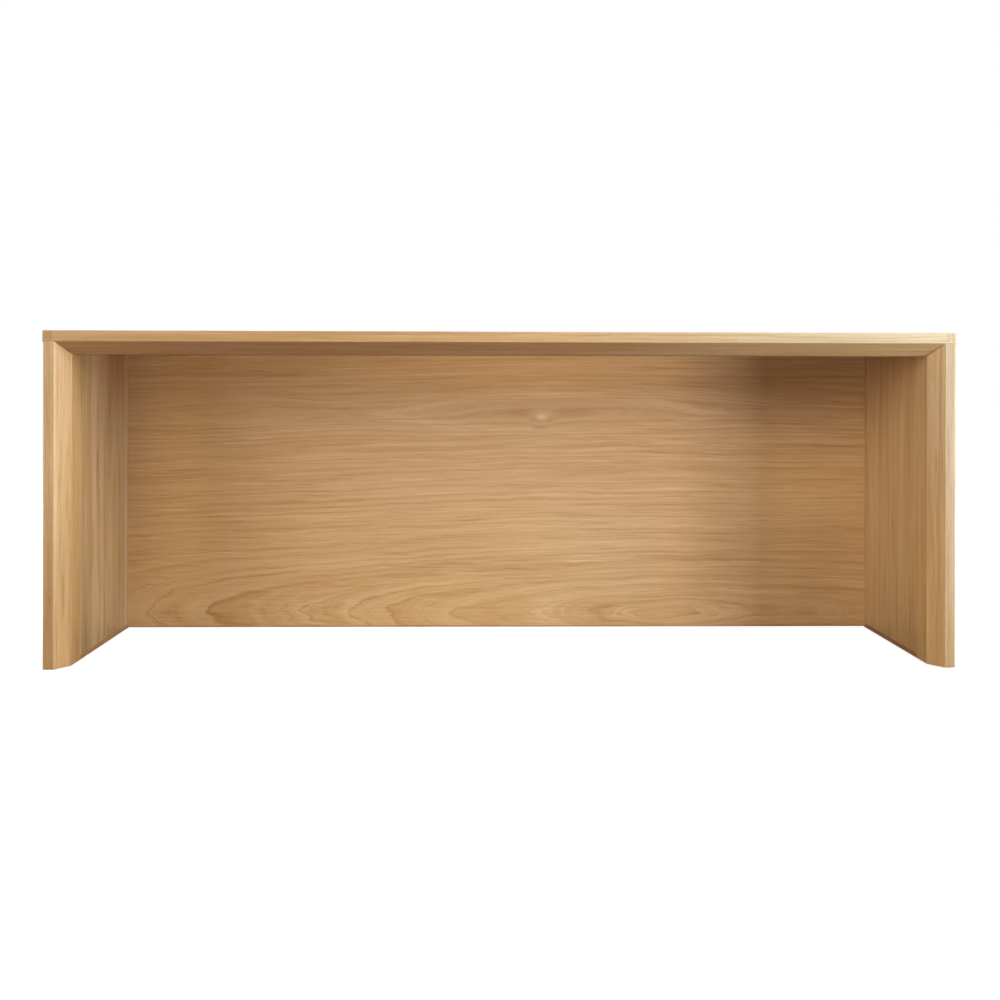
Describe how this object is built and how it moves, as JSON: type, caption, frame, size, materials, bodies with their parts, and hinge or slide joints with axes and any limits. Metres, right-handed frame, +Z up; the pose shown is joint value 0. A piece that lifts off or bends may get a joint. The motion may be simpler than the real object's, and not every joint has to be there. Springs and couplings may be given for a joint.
{
  "type": "table-top study carrel",
  "caption": "Open-fronted table-top study carrel: a wide thick top on two thick sides with a recessed back, in wood veneer with bevelled solid front edges.",
  "frame": {"origin": "middle of the footprint, on the table that the glides stand on", "axes": "+X to the sitter's right along the width, +Y away from the sitter towards the back panel, +Z up"},
  "size_m": [1.524, 0.381, 0.5635],
  "materials": {
    "solid_wood": "honey-toned solid hardwood edging under a satin clear lacquer",
    "veneer": "honey-brown figured hardwood veneer under a satin clear lacquer",
    "board": "raw particle board core",
    "beech": "raw beech dowel",
    "zinc": "bright die-cast zinc",
    "steel": "zinc-plated steel",
    "nylon": "natural nylon"
  },
  "bodies": {
    "root": {"back_core": "board", "back_foot_lipping": "solid_wood", "back_front_veneer": "veneer", "back_left_1_bolt": "steel", "back_left_1_cam": "zinc", "back_left_2_bolt": "steel", "back_left_2_cam": "zinc", "back_left_dowel_1": "beech", "back_left_dowel_2": "beech", "back_rear_veneer": "veneer", "back_right_1_bolt": "steel", "back_right_1_cam": "zinc", "back_right_2_bolt": "steel", "back_right_2_cam": "zinc", "back_right_dowel_1": "beech", "back_right_dowel_2": "beech", "back_top_1_bolt": "steel", "back_top_1_cam": "zinc", "back_top_2_bolt": "steel", "back_top_2_cam": "zinc", "back_top_dowel_1": "beech", "back_top_dowel_2": "beech", "back_top_dowel_3": "beech", "left_core": "board", "left_foot_lipping": "solid_wood", "left_front_glide": "nylon", "left_front_glide_screw": "steel", "left_inner_veneer": "veneer", "left_nosing": "solid_wood", "left_outer_veneer": "veneer", "left_rear_glide": "nylon", "left_rear_glide_screw": "steel", "left_rear_lipping": "solid_wood", "left_top_dowel_1": "beech", "left_top_dowel_2": "beech", "left_top_dowel_3": "beech", "right_core": "board", "right_foot_lipping": "solid_wood", "right_front_glide": "nylon", "right_front_glide_screw": "steel", "right_inner_veneer": "veneer", "right_nosing": "solid_wood", "right_outer_veneer": "veneer", "right_rear_glide": "nylon", "right_rear_glide_screw": "steel", "right_rear_lipping": "solid_wood", "right_top_dowel_1": "beech", "right_top_dowel_2": "beech", "right_top_dowel_3": "beech", "top_core": "board", "top_face_veneer": "veneer", "top_left_lipping": "solid_wood", "top_nosing": "solid_wood", "top_rear_lipping": "solid_wood", "top_right_lipping": "solid_wood", "top_under_veneer": "veneer"}
  },
  "joints": []
}
